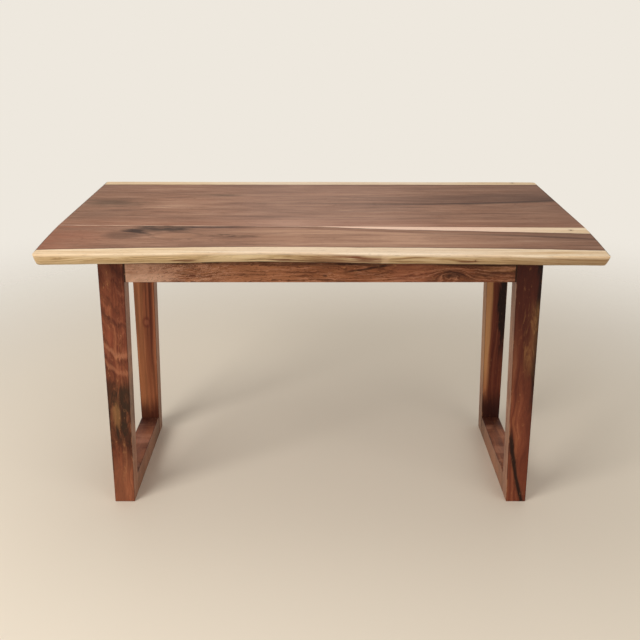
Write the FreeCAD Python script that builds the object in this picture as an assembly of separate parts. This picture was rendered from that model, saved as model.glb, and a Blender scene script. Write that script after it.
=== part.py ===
"""Counter-height table: a live-edge top of two boards on two hoop-shaped leg frames.

X runs along the table, Y from the front to the back, and Z up from the floor.
The origin is on the floor, under the middle of the top. Lengths are in millimetres.
"""

import FreeCAD
import Part

import math
import os

Vector = FreeCAD.Vector
ALONG = Vector(1, 0, 0)
BACK = Vector(0, 1, 0)
UP = Vector(0, 0, 1)

# Whole table
table_height = 914.0
top_length = 1626.0
top_depth = 960.0
top_thickness = 36.0

# Live edges of the top
front_wave = 42.0
rear_wave = 12.0
undercut = 20.0
arris_drop = 4.0
arris_inset = 5.0
end_sweep = 17.0
end_bow_share = 0.12
edge_place_shares = (-1.0, -0.75, -0.45, -0.2, 0.2, 0.6, 0.8, 1.0)
front_wave_shares = (0.48, 0.57, 0.8, 1.0, 0.71, 0.4, 0.16, 0.0)
rear_wave_shares = (0.0, 0.15, 0.3, 0.25, 0.5, 0.8, 0.75, 1.0)
front_undercut_shares = (0.9, 1.15, 1.25, 1.3, 1.0, 1.25, 1.4, 1.6)
rear_undercut_shares = (1.0, 1.2, 0.9, 1.1, 1.3, 1.0, 1.1, 0.9)

# Glue line between the two boards, measured forward from the middle of the top
glue_line_left = 150.0
glue_line_right = 182.0
board_dowel_diameter = 12.0
board_dowel_length = 60.0
board_dowel_shares = (-0.91, -0.615, -0.283, -0.092, 0.092, 0.283, 0.615, 0.91)

# Leg frames, set in from the ends and from the front and back of the top
end_overhang = 139.0
side_overhang = 226.0
leg_width = 78.0
leg_foot_width = 64.0
leg_depth = 60.0
floor_rail_height = 68.0
top_rail_height = 68.0
tenon_length = 40.0
tenon_thickness = 24.0
tenon_shoulder = 12.0

# Aprons and the bearer between them
apron_height = 117.0
apron_thickness = 26.0
apron_setback = 2.0
apron_dowel_diameter = 10.0
apron_dowel_length = 36.0
apron_dowel_spacing = 60.0
bearer_width = 45.0
bearer_height = 70.0
bearer_housing = 14.0

# Corner cleats, bolted to the legs and screwed to the aprons
cleat_reach = 40.0
cleat_width = 44.0
cleat_height = 90.0
cleat_chamfer = 8.0
cleat_bolt_spacing = 40.0
cleat_bolt_setback = 20.0
cleat_screw_spacing = 70.0
cleat_screw_setback = 26.0
cleat_screw_grip = 16.0

# Bolts of the cleats
bolt_diameter = 8.0
bolt_clearance = 0.25
bolt_head_width = 13.0
bolt_head_height = 5.5
washer_diameter = 17.0
washer_thickness = 1.6
leg_insert_diameter = 12.0
leg_insert_length = 20.0
bolt_end_gap = 2.0

# Wood screws of the cleats
cleat_screw_diameter = 5.0
cleat_screw_head_diameter = 9.5
cleat_screw_head_height = 3.5

# Long screws up through the rails and the bearer into the top
top_screw_diameter = 6.0
top_screw_clearance = 0.5
top_screw_head_width = 11.0
top_screw_head_height = 4.5
top_screw_bite = 20.0
top_screw_grip = 30.0
top_screw_washer_diameter = 16.0
top_screw_washer_thickness = 1.5
counterbore_diameter = 20.0
rail_screw_share = 0.68
bearer_screw_share = 0.53

# Clips that hold the top to the aprons
clip_width = 22.0
clip_thickness = 2.0
clip_tongue = 9.0
clip_flange = 26.0
kerf_depth = 11.0
kerf_length = 34.0
kerf_drop = 12.0
clip_place_shares = (-0.8, -0.27, 0.27, 0.8)
clip_screw_diameter = 4.5
clip_screw_head_diameter = 9.0
clip_screw_head_height = 2.5
clip_screw_bite = 14.0

# Steel channels let into the underside of the boards
channel_offset = 330.0
channel_length = 700.0
channel_width = 40.0
channel_height = 10.0
channel_wall = 3.0
channel_bolt_shares = (-0.89, -0.29, 0.29, 0.89)
channel_bolt_diameter = 6.0
channel_bolt_head_diameter = 12.0
channel_bolt_head_height = 3.3
board_insert_diameter = 10.0
board_insert_length = 13.0

# How far a cutting tool runs past the face that it opens
overrun = 5.0

# Levels and places that follow from the sizes above
underside = table_height - top_thickness
arris_level = table_height - arris_drop
half_length = top_length / 2
half_depth = top_depth / 2
frame_outer = half_length - end_overhang
frame_inner = frame_outer - leg_width
frame_back = half_depth - side_overhang
leg_front_face = frame_back - leg_depth
apron_bottom = underside - apron_height
apron_middle = underside - apron_height / 2
apron_outer = frame_back - apron_setback
apron_inner = apron_outer - apron_thickness
rail_centre = frame_outer - leg_width / 2
dowel_level = table_height - top_thickness / 2
cleat_bolt_line = apron_inner - cleat_bolt_setback
cleat_inner = frame_inner - cleat_reach
cleat_screw_line = frame_inner - cleat_screw_setback
kerf_top = underside - kerf_drop
kerf_bottom = kerf_top - clip_thickness
clip_screw_line = apron_inner - clip_flange / 2
rail_screw_place = leg_front_face * rail_screw_share
bearer_screw_place = apron_inner * bearer_screw_share
insert_start = underside + channel_wall


def block(low, high):
    """A box between two opposite corners."""
    return Part.makeBox(high[0] - low[0], high[1] - low[1], high[2] - low[2], Vector(*low))


def rod(start, direction, diameter, length):
    """A round bar from a point along a direction."""
    return Part.makeCylinder(diameter / 2, length, Vector(*start), direction)


def prism(points, direction, length):
    """A flat outline pushed along a direction."""
    outline = Part.makePolygon([Vector(*p) for p in points + points[:1]])
    return Part.Face(outline).extrude(direction * length)


def joined(first, others):
    """One solid out of several, without the seams between them."""
    return first.fuse(others).removeSplitter()


def to_corner(shape, side, end):
    """Takes a shape made at the right rear corner to another corner: side is -1 on the left, end -1 at the front."""
    moved = shape
    if side < 0:
        moved = moved.mirror(Vector(0, 0, 0), ALONG)
    if end < 0:
        moved = moved.mirror(Vector(0, 0, 0), BACK)
    return moved


CORNERS = [(side, end) for end in (-1, 1) for side in (-1, 1)]


def at_corners(shapes):
    """Every shape at each of the four corners."""
    return [to_corner(shape, side, end) for side, end in CORNERS for shape in shapes]


# Boards of the top


def edge_curve(level, depths, reach):
    """A live edge at one level, through the places along the top, and its two end points."""
    points = [Vector(share * reach, depth, level) for share, depth in zip(edge_place_shares, depths)]
    curve = Part.BSplineCurve()
    curve.interpolate(points)
    return curve.toShape(), points[0], points[-1]


def front_depths(inset, cut):
    """Where the front edge lies at each place along it, drawn back by an inset and by shares of a cut."""
    shares = zip(front_wave_shares, front_undercut_shares)
    return [-half_depth + front_wave * wave + inset + cut * deep for wave, deep in shares]


def rear_depths(inset, cut):
    """Where the rear edge lies at each place along it, drawn in by an inset and by shares of a cut."""
    shares = zip(rear_wave_shares, rear_undercut_shares)
    return [half_depth - rear_wave * wave - inset - cut * deep for wave, deep in shares]


def bowed_end(corner, joint):
    """The end of the front board, which draws in a little towards its front corner."""
    middle = (corner + joint) / 2
    middle.x += math.copysign(end_sweep * end_bow_share, corner.x)
    return Part.Arc(corner, middle, joint).toShape()


def board(depths_at, reach, end_between):
    """One board: its outline at the underside, at the arris and at the top face, with ruled sides."""
    wires = []
    for level, inset, cut in (
        (underside, 0, undercut),
        (arris_level, 0, 0),
        (table_height, arris_inset, 0),
    ):
        edge, left, right = edge_curve(level, depths_at(inset, cut), reach)
        joint_left = Vector(-half_length, -glue_line_left, level)
        joint_right = Vector(half_length, -glue_line_right, level)
        joint = Part.makeLine(joint_right, joint_left)
        wires.append(Part.Wire([edge, end_between(right, joint_right), joint, end_between(left, joint_left)]))
    return Part.makeLoft(wires, True, True)


def front_board():
    """The narrower board, with its live edge at the front."""
    return board(front_depths, half_length - end_sweep, bowed_end).cut(board_cuts())


def rear_board():
    """The wider board, with its live edge at the back and square ends."""
    return board(rear_depths, half_length, Part.makeLine).cut(board_cuts())


def board_dowels():
    """Dowels across the glue line, at half the thickness."""
    dowels = []
    for share in board_dowel_shares:
        joint = -(glue_line_left + glue_line_right) / 2 - (glue_line_right - glue_line_left) / 2 * share
        start = (share * half_length, joint - board_dowel_length / 2, dowel_level)
        dowels.append(rod(start, BACK, board_dowel_diameter, board_dowel_length))
    return dowels


def channel(side):
    """A steel channel with its web flush with the underside and its flanges up in the wood."""
    outer = channel_width / 2
    inner = outer - channel_wall
    crest = underside + channel_height
    start = -channel_length / 2
    profile = [
        (-outer, start, underside),
        (outer, start, underside),
        (outer, start, crest),
        (inner, start, crest),
        (inner, start, insert_start),
        (-inner, start, insert_start),
        (-inner, start, crest),
        (-outer, start, crest),
    ]
    shape = prism(profile, BACK, channel_length)
    shape.translate(ALONG * channel_offset * side)
    return shape


def channel_bolt_places():
    """Where each bolt goes up through a channel."""
    half = channel_length / 2
    return [(side * channel_offset, share * half) for side in (-1, 1) for share in channel_bolt_shares]


def channel_bolt(x, y):
    """A button-headed bolt up through the web."""
    head = rod((x, y, underside), -UP, channel_bolt_head_diameter, channel_bolt_head_height)
    shank = rod((x, y, underside), UP, channel_bolt_diameter, channel_wall + board_insert_length)
    return joined(head, [shank])


def board_insert(x, y):
    """A threaded sleeve in the wood above the web."""
    sleeve = rod((x, y, insert_start), UP, board_insert_diameter, board_insert_length)
    return sleeve.cut(rod((x, y, insert_start), UP, channel_bolt_diameter, board_insert_length))


# Leg frames


def leg():
    """The right rear leg: square to below the apron, then drawn in on its inner face down to the floor."""
    outline = [
        (frame_outer, leg_front_face, 0),
        (frame_outer, leg_front_face, underside),
        (frame_inner, leg_front_face, underside),
        (frame_inner, leg_front_face, apron_bottom),
        (frame_outer - leg_foot_width, leg_front_face, 0),
    ]
    shape = prism(outline, BACK, leg_depth)
    sockets = [floor_rail_tenon(), top_rail_tenon()]
    sockets += [apron_dowel(level) for level in apron_dowel_levels()]
    sockets += [leg_insert_blank(level) for level in cleat_bolt_levels()]
    return shape.cut(sockets)


def tenon(centre, bottom, height):
    """The tenon at the rear end of a rail."""
    return block(
        (centre - tenon_thickness / 2, leg_front_face, bottom + tenon_shoulder),
        (centre + tenon_thickness / 2, leg_front_face + tenon_length, bottom + height - tenon_shoulder),
    )


def floor_rail_tenon():
    """The floor rail's rear tenon."""
    return tenon(frame_outer - leg_foot_width / 2, 0, floor_rail_height)


def top_rail_tenon():
    """The top rail's rear tenon."""
    return tenon(rail_centre, underside - top_rail_height, top_rail_height)


def with_tenons(shape, rear_tenon):
    """A rail with a tenon at both ends."""
    return joined(shape, [rear_tenon, to_corner(rear_tenon, 1, -1)])


def floor_rail():
    """The right floor rail."""
    shape = block(
        (frame_outer - leg_foot_width, -leg_front_face, 0),
        (frame_outer, leg_front_face, floor_rail_height),
    )
    return with_tenons(shape, floor_rail_tenon())


def top_rail():
    """The right top rail, bored for the screws that hold the top."""
    bottom = underside - top_rail_height
    shape = block((frame_inner, -leg_front_face, bottom), (frame_outer, leg_front_face, underside))
    bores = [bore for y in rail_screw_ends() for bore in top_screw_bores(rail_centre, y, bottom)]
    return with_tenons(shape, top_rail_tenon()).cut(bores)


# Screws up into the top


def rail_screw_ends():
    """Where the screws stand along a top rail."""
    return (-rail_screw_place, rail_screw_place)


def bearer_screw_ends():
    """Where the screws stand along the bearer."""
    return (-bearer_screw_place, bearer_screw_place)


def top_screw_places():
    """Where each long screw goes up into the top."""
    rails = [(side * rail_centre, y) for side in (-1, 1) for y in rail_screw_ends()]
    return rails + [(0, y) for y in bearer_screw_ends()]


def top_screw_seat():
    """The level of the shoulder that a long screw pulls against."""
    return underside - top_screw_grip


def top_screw_bores(x, y, bottom):
    """The clearance hole and the counterbore of a long screw."""
    seat = top_screw_seat()
    hole = rod((x, y, seat), UP, top_screw_diameter + 2 * top_screw_clearance, top_screw_grip + overrun)
    pocket = rod((x, y, bottom - overrun), UP, counterbore_diameter, seat - bottom + overrun)
    return [hole, pocket]


def top_screw(x, y):
    """A long hexagon-headed screw."""
    head_top = top_screw_seat() - top_screw_washer_thickness
    head = hexagon((x, y, head_top - top_screw_head_height), UP, top_screw_head_width, top_screw_head_height)
    shank_length = underside + top_screw_bite - head_top
    return joined(head, [rod((x, y, head_top), UP, top_screw_diameter, shank_length)])


def top_screw_pilot(x, y):
    """The hole in the top that a long screw bites into."""
    return rod((x, y, underside - overrun), UP, top_screw_diameter, top_screw_bite + overrun)


def top_screw_washer(x, y):
    """The washer under a long screw's head."""
    start = (x, y, top_screw_seat() - top_screw_washer_thickness)
    disc = rod(start, UP, top_screw_washer_diameter, top_screw_washer_thickness)
    hole_diameter = top_screw_diameter + 2 * bolt_clearance
    return disc.cut(rod(start, UP, hole_diameter, top_screw_washer_thickness))


def hexagon(start, direction, width, height):
    """A hexagonal bar, given by the width across its flats."""
    radius = width / math.sqrt(3)
    corners = []
    for step in range(6):
        turn = math.radians(60 * step)
        corners.append(Vector(radius * math.cos(turn), radius * math.sin(turn), 0))
    face = Part.Face(Part.makePolygon(corners + corners[:1]))
    bar = face.extrude(UP * height)
    bar.Placement = FreeCAD.Placement(Vector(*start), FreeCAD.Rotation(UP, direction))
    return bar


# Aprons and bearer


def apron_dowel_levels():
    """The levels of the two dowels at each end of an apron."""
    return (apron_middle - apron_dowel_spacing / 2, apron_middle + apron_dowel_spacing / 2)


def apron_dowel(level):
    """A dowel between the rear apron and the right leg."""
    start = (frame_inner - apron_dowel_length / 2, (apron_inner + apron_outer) / 2, level)
    return rod(start, ALONG, apron_dowel_diameter, apron_dowel_length)


def apron():
    """The rear apron, with its dowel holes, the bearer's housing, the clips' kerfs and the cleats' screw holes."""
    shape = block((-frame_inner, apron_inner, apron_bottom), (frame_inner, apron_outer, underside))
    cuts = [bearer_blank()]
    for side in (-1, 1):
        cuts += [to_corner(apron_dowel(level), side, 1) for level in apron_dowel_levels()]
        cuts += [to_corner(cleat_screw_shank(level), side, 1) for level in cleat_screw_levels()]
    for centre in clip_places():
        low = (centre - kerf_length / 2, apron_inner - overrun, kerf_bottom)
        high = (centre + kerf_length / 2, apron_inner + kerf_depth, kerf_top)
        cuts.append(block(low, high))
    return shape.cut(cuts)


def bearer_blank():
    """The bearer before it is bored."""
    reach = apron_inner + bearer_housing
    return block((-bearer_width / 2, -reach, underside - bearer_height), (bearer_width / 2, reach, underside))


def bearer():
    """The centre bearer, bored for the screws that hold the top."""
    bottom = underside - bearer_height
    return bearer_blank().cut([bore for y in bearer_screw_ends() for bore in top_screw_bores(0, y, bottom)])


# Corner cleats and their bolts and screws


def cleat_bolt_levels():
    """The levels of a cleat's two bolts."""
    return (apron_middle - cleat_bolt_spacing / 2, apron_middle + cleat_bolt_spacing / 2)


def cleat_screw_levels():
    """The levels of a cleat's two screws."""
    return (apron_middle - cleat_screw_spacing / 2, apron_middle + cleat_screw_spacing / 2)


def cleat():
    """The right rear cleat, with its free upright edge taken off."""
    front = apron_inner - cleat_width
    outline = [
        (frame_inner, apron_inner, apron_middle - cleat_height / 2),
        (cleat_inner, apron_inner, apron_middle - cleat_height / 2),
        (cleat_inner, front + cleat_chamfer, apron_middle - cleat_height / 2),
        (cleat_inner + cleat_chamfer, front, apron_middle - cleat_height / 2),
        (frame_inner, front, apron_middle - cleat_height / 2),
    ]
    shape = prism(outline, UP, cleat_height)
    cuts = []
    for level in cleat_bolt_levels():
        start = (cleat_inner - overrun, cleat_bolt_line, level)
        cuts.append(rod(start, ALONG, bolt_diameter + 2 * bolt_clearance, cleat_reach + 2 * overrun))
    for level in cleat_screw_levels():
        cuts.append(cleat_screw_shank(level))
        cuts.append(rod(cleat_screw_start(level), BACK, cleat_screw_head_diameter, cleat_screw_head_height))
    return shape.cut(cuts)


def cleat_screw_start(level):
    """Where a cleat screw's head lies flush with the cleat."""
    return (cleat_screw_line, apron_inner - cleat_width, level)


def cleat_screw_shank(level):
    """The shank of a cleat screw, and the hole that it makes."""
    return rod(cleat_screw_start(level), BACK, cleat_screw_diameter, cleat_width + cleat_screw_grip)


def cleat_screw(level):
    """A cleat screw, its head sunk flush."""
    head = rod(cleat_screw_start(level), BACK, cleat_screw_head_diameter, cleat_screw_head_height)
    return joined(head, [cleat_screw_shank(level)])


def corner_bolt(level):
    """A bolt through the cleat into the leg."""
    head_start = cleat_inner - washer_thickness - bolt_head_height
    head = hexagon((head_start, cleat_bolt_line, level), ALONG, bolt_head_width, bolt_head_height)
    length = washer_thickness + cleat_reach + leg_insert_length - bolt_end_gap
    start = (cleat_inner - washer_thickness, cleat_bolt_line, level)
    return joined(head, [rod(start, ALONG, bolt_diameter, length)])


def corner_washer(level):
    """The washer under a corner bolt's head."""
    start = (cleat_inner - washer_thickness, cleat_bolt_line, level)
    disc = rod(start, ALONG, washer_diameter, washer_thickness)
    return disc.cut(rod(start, ALONG, bolt_diameter + 2 * bolt_clearance, washer_thickness))


def leg_insert_blank(level):
    """The space that a threaded sleeve fills in the leg."""
    return rod((frame_inner, cleat_bolt_line, level), ALONG, leg_insert_diameter, leg_insert_length)


def leg_insert(level):
    """A threaded sleeve in the leg."""
    bore = rod((frame_inner, cleat_bolt_line, level), ALONG, bolt_diameter, leg_insert_length)
    return leg_insert_blank(level).cut(bore)


# Clips of the aprons


def clip_places():
    """Where each clip stands along an apron."""
    return [share * frame_inner for share in clip_place_shares]


def clip(x):
    """A bent strip with its tongue in the rear apron's kerf and its flange under the top."""
    flange_end = apron_inner - clip_flange
    riser = apron_inner - clip_thickness
    start = x - clip_width / 2
    outline = [
        (start, apron_inner + clip_tongue, kerf_bottom),
        (start, apron_inner + clip_tongue, kerf_top),
        (start, apron_inner, kerf_top),
        (start, apron_inner, underside),
        (start, flange_end, underside),
        (start, flange_end, underside - clip_thickness),
        (start, riser, underside - clip_thickness),
        (start, riser, kerf_bottom),
    ]
    return prism(outline, ALONG, clip_width).cut(clip_screw_shank(x))


def clip_screw_shank(x):
    """The shank of a clip's screw, and the hole that it makes in the top."""
    start = (x, clip_screw_line, underside - clip_thickness)
    return rod(start, UP, clip_screw_diameter, clip_thickness + clip_screw_bite)


def clip_screw(x):
    """A round-headed screw up through a clip."""
    start = (x, clip_screw_line, underside - clip_thickness)
    head = rod(start, -UP, clip_screw_head_diameter, clip_screw_head_height)
    return joined(head, [clip_screw_shank(x)])


def along_both_aprons(make):
    """A piece at every clip's place, on the rear apron and on the front one."""
    return [to_corner(make(x), 1, end) for end in (-1, 1) for x in clip_places()]


# Everything that is let into the boards


def board_cuts():
    """The spaces that the boards leave for dowels, channels, sleeves and screws."""
    cuts = board_dowels() + [channel(side) for side in (-1, 1)]
    for x, y in channel_bolt_places():
        cuts.append(rod((x, y, insert_start), UP, board_insert_diameter, board_insert_length))
    cuts += [top_screw_pilot(x, y) for x, y in top_screw_places()]
    cuts += along_both_aprons(clip_screw_shank)
    return cuts


def drilled_channel(side):
    """A channel with its bolt holes."""
    holes = [
        rod((x, y, underside - overrun), UP, channel_bolt_diameter + 2 * bolt_clearance, channel_height + overrun)
        for x, y in channel_bolt_places()
    ]
    return channel(side).cut(holes)


def save(name, shapes):
    """Writes a node: one solid, or a group of like pieces."""
    shape = shapes[0] if len(shapes) == 1 else Part.makeCompound(shapes)
    shape.exportStep(os.path.join("parts", name + ".step"))


SIDES = {-1: "left", 1: "right"}
ENDS = {-1: "front", 1: "rear"}


def main():
    os.makedirs("parts", exist_ok=True)
    save("front_board", [front_board()])
    save("rear_board", [rear_board()])
    save("board_dowels", board_dowels())
    save("channel_bolts", [channel_bolt(x, y) for x, y in channel_bolt_places()])
    save("board_inserts", [board_insert(x, y) for x, y in channel_bolt_places()])
    for side, side_name in SIDES.items():
        save(side_name + "_channel", [drilled_channel(side)])
        save(side_name + "_floor_rail", [to_corner(floor_rail(), side, 1)])
        save(side_name + "_top_rail", [to_corner(top_rail(), side, 1)])
        for end, end_name in ENDS.items():
            save(f"{end_name}_{side_name}_leg", [to_corner(leg(), side, end)])
            save(f"{end_name}_{side_name}_cleat", [to_corner(cleat(), side, end)])
    for end, end_name in ENDS.items():
        save(end_name + "_apron", [to_corner(apron(), 1, end)])
    save("centre_bearer", [bearer()])
    save("apron_dowels", at_corners([apron_dowel(level) for level in apron_dowel_levels()]))
    save("corner_bolts", at_corners([corner_bolt(level) for level in cleat_bolt_levels()]))
    save("corner_washers", at_corners([corner_washer(level) for level in cleat_bolt_levels()]))
    save("leg_inserts", at_corners([leg_insert(level) for level in cleat_bolt_levels()]))
    save("cleat_screws", at_corners([cleat_screw(level) for level in cleat_screw_levels()]))
    save("top_screws", [top_screw(x, y) for x, y in top_screw_places()])
    save("top_screw_washers", [top_screw_washer(x, y) for x, y in top_screw_places()])
    save("apron_clips", along_both_aprons(clip))
    save("clip_screws", along_both_aprons(clip_screw))


main()
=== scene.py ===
"""Looks of the counter-height table: its boards, leg frames, fixings, light and camera.

Lengths are in metres, in the part's own frame: X along the table, Y to the back, Z up.
"""

import math

import bmesh
import bpy
import numpy as np
from mathutils import Matrix, Vector, noise


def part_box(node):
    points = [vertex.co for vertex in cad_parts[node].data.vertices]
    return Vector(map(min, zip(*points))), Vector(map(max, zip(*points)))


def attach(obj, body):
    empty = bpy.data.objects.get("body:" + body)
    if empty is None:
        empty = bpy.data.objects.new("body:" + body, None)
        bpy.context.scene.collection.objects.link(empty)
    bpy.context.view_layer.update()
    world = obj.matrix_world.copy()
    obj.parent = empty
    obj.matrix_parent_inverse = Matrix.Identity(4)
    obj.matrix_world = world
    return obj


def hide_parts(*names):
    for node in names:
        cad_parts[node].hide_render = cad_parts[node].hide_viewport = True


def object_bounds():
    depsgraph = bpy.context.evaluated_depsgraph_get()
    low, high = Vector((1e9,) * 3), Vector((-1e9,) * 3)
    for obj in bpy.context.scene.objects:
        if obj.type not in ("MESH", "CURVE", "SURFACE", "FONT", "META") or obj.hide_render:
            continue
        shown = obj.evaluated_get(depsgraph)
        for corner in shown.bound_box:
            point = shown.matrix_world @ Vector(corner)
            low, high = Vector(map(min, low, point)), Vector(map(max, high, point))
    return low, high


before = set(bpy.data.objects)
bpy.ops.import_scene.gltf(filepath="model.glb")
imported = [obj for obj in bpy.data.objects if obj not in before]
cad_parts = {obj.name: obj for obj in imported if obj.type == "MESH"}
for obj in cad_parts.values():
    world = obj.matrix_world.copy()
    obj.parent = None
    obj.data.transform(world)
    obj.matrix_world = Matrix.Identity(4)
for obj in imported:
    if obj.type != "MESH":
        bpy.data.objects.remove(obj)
solid_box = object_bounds()

X_AXIS, Y_AXIS, Z_AXIS = range(3)
TOUCH = 1e-4
WELD = 1e-6
CORNER_ANGLE = math.radians(40)

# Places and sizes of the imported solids
TABLE_TOP = solid_box[1].z
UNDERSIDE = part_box("rear_board")[0].z
HALF_LENGTH = solid_box[1].x
HALF_DEPTH = solid_box[1].y
CHANNEL_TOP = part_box("left_channel")[1].z
CHANNEL_SIDES = (0.31, 0.35)
CHANNEL_END = 0.35
GLUE_LINE_MIDDLE = -0.166
GLUE_LINE_SLOPE = -0.016 / HALF_LENGTH

# Outline of a board: where its live edge is read off, and how it is rounded and roughened
ARRIS_LEVEL = TABLE_TOP - 0.004
EDGE_ZONE = 0.4
LINE_POINTS = 164
LINE_SMOOTHINGS = 12
TOP_CORNER_RADIUS = 0.011
LEFT_FOOT_RADIUS = 0.022
RIGHT_FOOT_RADIUS = 0.014
TOP_ROUNDING = 0.007
FACE_ROUNDING = 0.009
FOOT_ROUNDING = 0.003
EDGE_WAVES = 0.0016
EDGE_NICKS = 0.0006
EDGE_SWELL = 0.0028
EDGE_DENTS = 0.0013
UNDERSIDE_ROW = 0.41

# Ends of the boards: how far they are drawn in towards the live edge, and their eased rims
END_SWEEP = 0.017
END_BOW = 0.12
SWEEP_START = 0.6
SWEEP_DEPTH = 0.46
END_EASING = 0.0016
GLUE_LINE_ZONE = 0.002

# Arrises of the leg frames and aprons, and the shortest edge that is eased
ARRIS_RADIUS = 0.002
ARRIS_ANGLE = math.radians(50)
FLAT_ANGLE = math.radians(0.4)
MEMBER_SHORTEST = 0.05
CLEAT_SHORTEST = 0.01

# Tones of the wood, as (value, screen colour)
HEART_TONES = [
    (0.40, (108, 73, 55)),
    (0.45, (130, 91, 71)),
    (0.50, (149, 109, 87)),
    (0.55, (163, 124, 101)),
    (0.61, (180, 144, 120)),
]
SAP_TONES = [
    (0.34, (206, 170, 128)),
    (0.5, (228, 200, 163)),
    (0.62, (236, 214, 183)),
]
EDGE_TONES = [
    (0.36, (132, 102, 68)),
    (0.44, (182, 149, 105)),
    (0.53, (212, 182, 138)),
    (0.66, (229, 205, 165)),
]
FRAME_TONES = [
    (0.38, (60, 25, 15)),
    (0.44, (91, 43, 27)),
    (0.50, (117, 61, 38)),
    (0.56, (141, 80, 52)),
    (0.64, (171, 110, 74)),
]

# Brown patches of the front live edge, as (place, size) along X and Z
FRONT_EDGE_PATCHES = [
    ((-0.38, 0.888), (0.04, 0.005)),
    ((-0.11, 0.886), (0.035, 0.006)),
    ((0.095, 0.900), (0.035, 0.005)),
    ((0.11, 0.899), (0.03, 0.005)),
    ((0.13, 0.894), (0.045, 0.013)),
    ((0.41, 0.889), (0.03, 0.006)),
]

# Arcs across the front left leg, as (level, screen colour)
LEG_ARCS = [
    (0.62, (58, 26, 20)),
    (0.515, (178, 118, 86)),
    (0.455, (172, 110, 78)),
]

# Painted shade from the overhanging boards, laid as dark veins along the top of the front apron, as (level,
# thickness, strength)
LOWEST_SHADE_VEIN = 0.824
APRON_SHADE_VEINS = [
    (LOWEST_SHADE_VEIN, 0.0095, 0.85),
    (0.8385, 0.010, 0.45),
    (0.8550, 0.007, 0.55),
]

FLOOR_RADIUS = 3.7
LENS = 47.73
SENSOR_WIDTH = 36.0
LENS_SHIFT = (-0.0005, -0.125)
CAMERA_PLACE = (0.0, -2.692, 1.608)
CAMERA_DIP = 16.28
AMBIENT_STRENGTH = 0.54


# Numbers and colours that vary over a surface


def screen(red, green, blue):
    """A colour in screen values from 0 to 255, as the colour that a shader takes."""
    linear = []
    for value in (red, green, blue):
        share = value / 255
        linear.append(share / 12.92 if share <= 0.04045 else ((share + 0.055) / 1.055) ** 2.4)
    return (*linear, 1.0)


class Field:
    """A number that varies over a surface, so that sums of such numbers read as plain sums."""

    def __init__(self, finish, socket):
        self.finish = finish
        self.socket = socket

    def __add__(self, other):
        return self.finish.math("ADD", self, other)

    __radd__ = __add__

    def __sub__(self, other):
        return self.finish.math("SUBTRACT", self, other)

    def __rsub__(self, other):
        return self.finish.math("SUBTRACT", other, self)

    def __mul__(self, other):
        return self.finish.math("MULTIPLY", self, other)

    __rmul__ = __mul__

    def __truediv__(self, other):
        return self.finish.math("DIVIDE", self, other)

    def __pow__(self, other):
        return self.finish.math("POWER", self, other)

    def __abs__(self):
        return self.finish.math("ABSOLUTE", self)

    def rise(self, low, high):
        """0 below low and 1 above high, with a smooth step between them."""
        node = self.finish.nodes.new("ShaderNodeMapRange")
        node.interpolation_type = "SMOOTHSTEP"
        for name, value in (("Value", self), ("From Min", low), ("From Max", high)):
            self.finish.feed(node.inputs[name], value)
        return Field(self.finish, node.outputs["Result"])

    def fall(self, low, high):
        """1 below low and 0 above high."""
        return 1 - self.rise(low, high)

    def least(self, other):
        return self.finish.math("MINIMUM", self, other)

    def most(self, other):
        return self.finish.math("MAXIMUM", self, other)


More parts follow.
